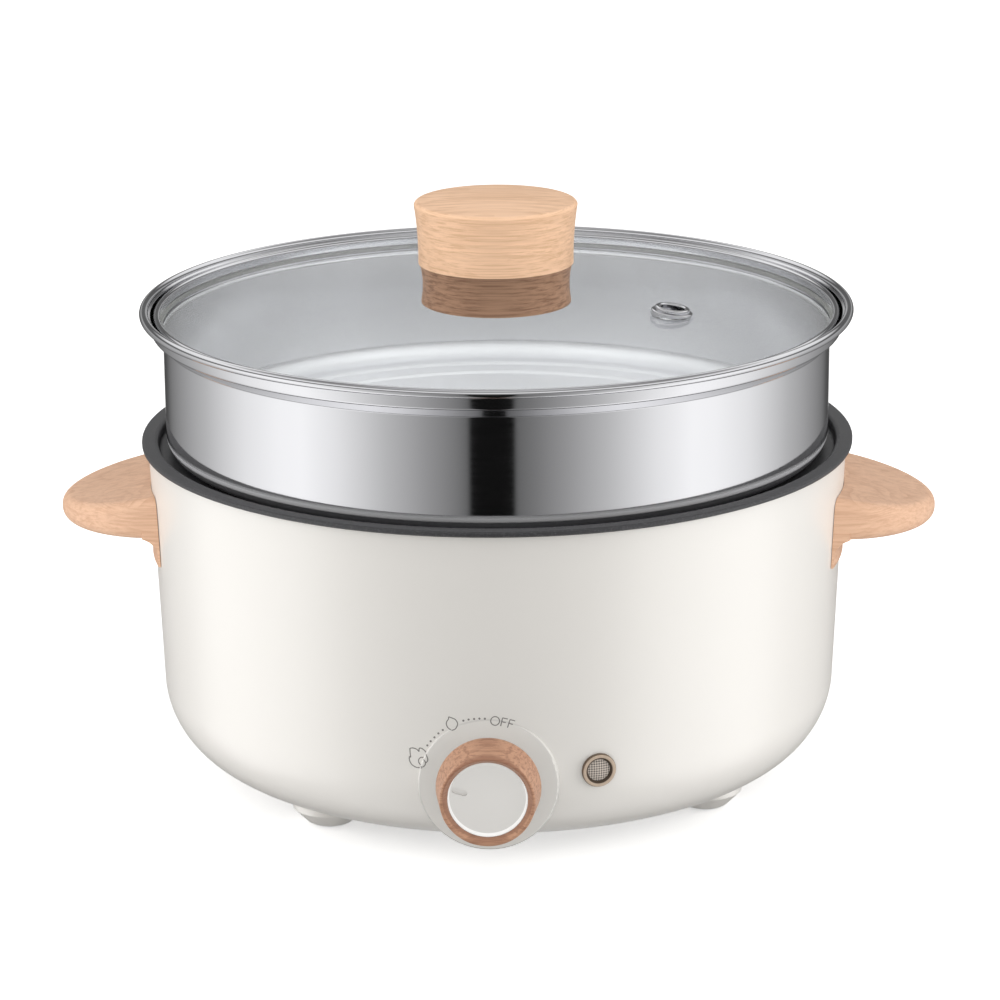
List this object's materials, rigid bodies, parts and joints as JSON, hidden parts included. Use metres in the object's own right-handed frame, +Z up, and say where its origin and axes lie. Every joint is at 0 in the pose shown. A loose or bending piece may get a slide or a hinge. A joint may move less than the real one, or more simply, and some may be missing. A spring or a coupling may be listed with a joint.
{
  "type": "electric hot pot with lid",
  "caption": "Round countertop electric hot pot with a steel steamer pan, a lift-off glass lid, two ear handles and a round heat knob.",
  "frame": {"origin": "on the surface the pot stands on, under the middle of the outline seen from above; the axis of the round body is 5.25 mm from it towards +Y, because the control knob stands out in front", "axes": "+Z up, parallel to the axis of the round body, -Y towards the control knob, +X towards the right handle as seen from the knob"},
  "size_m": [0.3466, 0.2904, 0.2293],
  "materials": {
    "shell_plastic": "warm white, smooth satin gloss",
    "rubber_pad": "black, matt",
    "cover_plastic": "warm grey, fine texture",
    "screw_steel": "plain zinc steel",
    "pot_coating": "dark satin non-stick coating",
    "handle_wood": "wood-grain print, light beech, satin",
    "cast_alloy": "as cast, machined top",
    "element_steel": "sheath, dull grey",
    "shield_steel": "pressed sheet",
    "ceramic_body": "cream moulding",
    "fuse_metal": "plain",
    "knob_wood": "wood-grain print, beech, satin",
    "disc_plastic": "warm light grey, satin",
    "bezel_bronze": "bronze",
    "lens_amber": "translucent grey brown, ribbed",
    "lamp_glass": "clear bulb",
    "inlet_plastic": "black",
    "pin_brass": "plain",
    "terminal_plastic": "natural white",
    "polished_steel": "polished stainless steel",
    "lid_glass": "clear tempered glass",
    "clear_silicone": "translucent white silicone",
    "dark_wood": "wood-grain print, dark walnut, satin",
    "light_wood": "wood-grain print, light beech, satin"
  },
  "bodies": {
    "base": {"outer_shell": "shell_plastic", "foot_pads": "rubber_pad", "base_cover": "cover_plastic", "base_cover_screws": "screw_steel", "inner_pot": "pot_coating", "rim_seal": "rubber_pad", "right_handle": "handle_wood", "left_handle": "handle_wood", "handle_screws": "screw_steel", "heating_plate": "cast_alloy", "heating_element": "element_steel", "heat_shield": "shield_steel", "clamp_screws": "screw_steel", "heat_limiter": "ceramic_body", "thermal_fuse": "fuse_metal", "fuse_clip": "ceramic_body", "control_thermostat": "ceramic_body", "thermostat_bracket": "shield_steel", "thermostat_screws": "screw_steel", "lamp_bezel": "bezel_bronze", "lamp_lens": "lens_amber", "lamp_bulb": "lamp_glass", "lamp_nut": "screw_steel", "inlet_housing": "inlet_plastic", "inlet_pins": "pin_brass", "inlet_screws": "screw_steel", "terminal_block": "terminal_plastic"},
    "steamer": {"steamer_pan": "polished_steel"},
    "lid": {"lid_glass": "lid_glass", "lid_band": "polished_steel", "lid_seal": "clear_silicone", "steam_vent": "polished_steel", "foot_washer": "clear_silicone", "under_washer": "screw_steel", "grip_foot": "dark_wood", "grip_cap": "light_wood", "grip_insert": "pin_brass", "grip_screw": "screw_steel"},
    "heat_knob": {"control_knob": "knob_wood", "knob_disc": "disc_plastic", "control_spindle": "screw_steel"}
  },
  "joints": [
    {"name": "steamer_lift", "type": "slide", "parent": "base", "child": "steamer", "axis": [0, 0, 1], "range_m": [0, 0.1]},
    {"name": "lid_lift", "type": "slide", "parent": "steamer", "child": "lid", "axis": [0, 0, 1], "range_m": [0, 0.12]},
    {"name": "heat_knob_turn", "type": "hinge", "parent": "base", "child": "heat_knob", "pos_m": [0, -0.12817, 0.0362], "axis": [0, 0.9992, 0.0401], "range_deg": [0, 81.5]}
  ]
}
